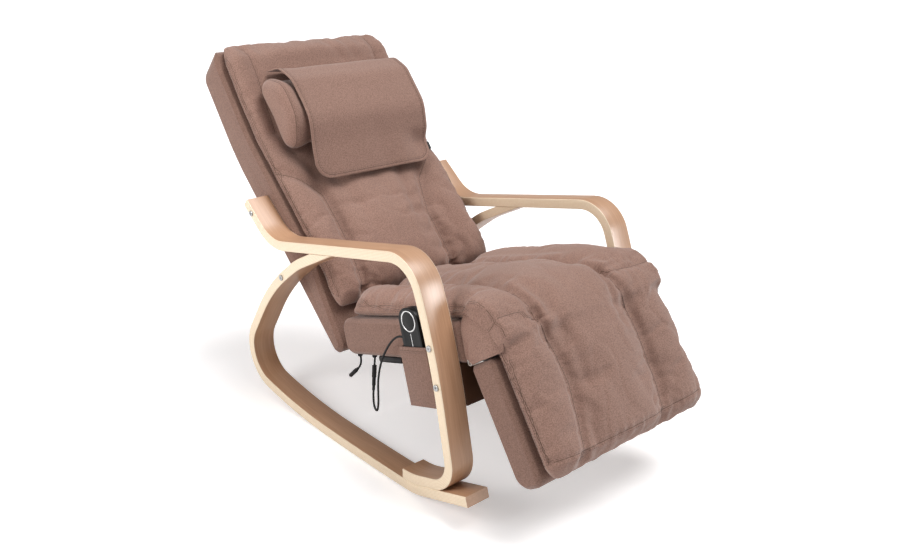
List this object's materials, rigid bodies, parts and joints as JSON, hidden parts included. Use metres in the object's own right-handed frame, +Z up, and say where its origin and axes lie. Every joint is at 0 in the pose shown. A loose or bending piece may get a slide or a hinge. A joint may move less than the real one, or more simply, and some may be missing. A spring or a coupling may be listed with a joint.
{
  "type": "massage rocking chair",
  "caption": "Reclined rocking chair with bent plywood side frames, padded fabric seat and back, a fold-up footrest, head pillow, massage carriage in the back and a remote in a side pocket.",
  "frame": {"origin": "centre of the bounding box at floor height", "axes": "+Z up, the sitter faces -Y, the sitter's right hand is towards -X"},
  "size_m": [0.667, 1.304, 0.8714],
  "materials": {
    "birch": "clear-lacquered birch, pale laminated edges",
    "bolt_steel": "zinc-plated socket bolts",
    "inner_steel": "plain bright steel",
    "cover_cloth": "brown heathered cloth, stretched",
    "pad_cloth": "brown heathered cloth over soft filling",
    "rail_wood": "dark brown stain",
    "strap_paint": "black paint",
    "hinge_paint": "pale zinc finish",
    "tag_cloth": "plain dark woven tag",
    "inner_plastic": "moulded",
    "remote_matte": "black, fine texture",
    "remote_gloss": "black gloss",
    "remote_silver": "satin silver",
    "cord_rubber": "black flexible jacket"
  },
  "bodies": {
    "frame": {"arm_strip_right": "birch", "arm_strip_left": "birch", "rocker_strip_right": "birch", "rocker_strip_left": "birch", "frame_bolts": "bolt_steel", "threaded_sleeves": "inner_steel", "seat_base": "cover_cloth", "front_rail": "rail_wood", "back_panel": "cover_cloth", "seat_straps": "strap_paint", "hinge_seat_leaves": "hinge_paint", "hinge_pins": "inner_steel", "back_mattress": "pad_cloth", "seat_mattress": "pad_cloth", "knee_roll": "pad_cloth", "head_pillow": "pad_cloth", "pillow_flap": "pad_cloth", "flap_tag": "tag_cloth", "guide_rods": "inner_steel", "lift_motor": "strap_paint", "remote_pocket": "cover_cloth", "control_box": "remote_matte", "cord_glands": "remote_matte", "remote_cord": "cord_rubber", "box_cord": "cord_rubber", "supply_lead": "cord_rubber", "cord_connector": "remote_matte", "supply_socket": "remote_matte"},
    "footrest": {"foot_panel": "cover_cloth", "foot_mattress": "pad_cloth", "hinge_foot_leaves": "hinge_paint"},
    "carriage": {"carriage": "inner_plastic", "massage_motor": "strap_paint"},
    "screw": {"lead_screw": "inner_steel"},
    "head_right": {"massage_head_right": "inner_plastic"},
    "head_left": {"massage_head_left": "inner_plastic"},
    "remote": {"remote_case": "remote_matte", "remote_cover": "remote_gloss", "remote_ring": "remote_silver", "remote_line": "remote_silver", "cord_relief": "cord_rubber"},
    "dial": {"remote_dial": "remote_gloss"}
  },
  "joints": [
    {"name": "footrest_lift", "type": "hinge", "parent": "frame", "child": "footrest", "pos_m": [0, -0.39771, 0.34185], "axis": [-1, 0, 0], "range_deg": [0, 55], "deforming": ["knee_roll"]},
    {"name": "carriage_slide", "type": "slide", "parent": "frame", "child": "carriage", "axis": [0, 0.7361, 0.6769], "range_m": [-0.095, 0.095]},
    {"name": "screw_turn", "type": "hinge", "parent": "frame", "child": "screw", "pos_m": [0, 0.35839, 0.50771], "axis": [0, 0.7361, 0.6769], "range_deg": [-1715, 1715]},
    {"name": "head_right_spin", "type": "hinge", "parent": "carriage", "child": "head_right", "pos_m": [-0.086, 0.35026, 0.51654], "axis": [0, -0.6769, 0.7361], "continuous": true},
    {"name": "head_left_spin", "type": "hinge", "parent": "carriage", "child": "head_left", "pos_m": [0.086, 0.35026, 0.51654], "axis": [0, -0.6769, 0.7361], "continuous": true},
    {"name": "remote_lift", "type": "slide", "parent": "frame", "child": "remote", "axis": [0, 0.309, 0.9511], "range_m": [0, 0.09], "deforming": ["remote_cord"]},
    {"name": "dial_press", "type": "slide", "parent": "remote", "child": "dial", "axis": [1, 0, 0], "range_m": [0, 0.0012], "stiffness_N_per_m": 800}
  ],
  "couplings": [
    {"joint": "screw_turn", "follows": "carriage_slide", "rad_per_m": 314.16},
    {"joint": "head_left_spin", "follows": "head_right_spin", "ratio": -1}
  ]
}
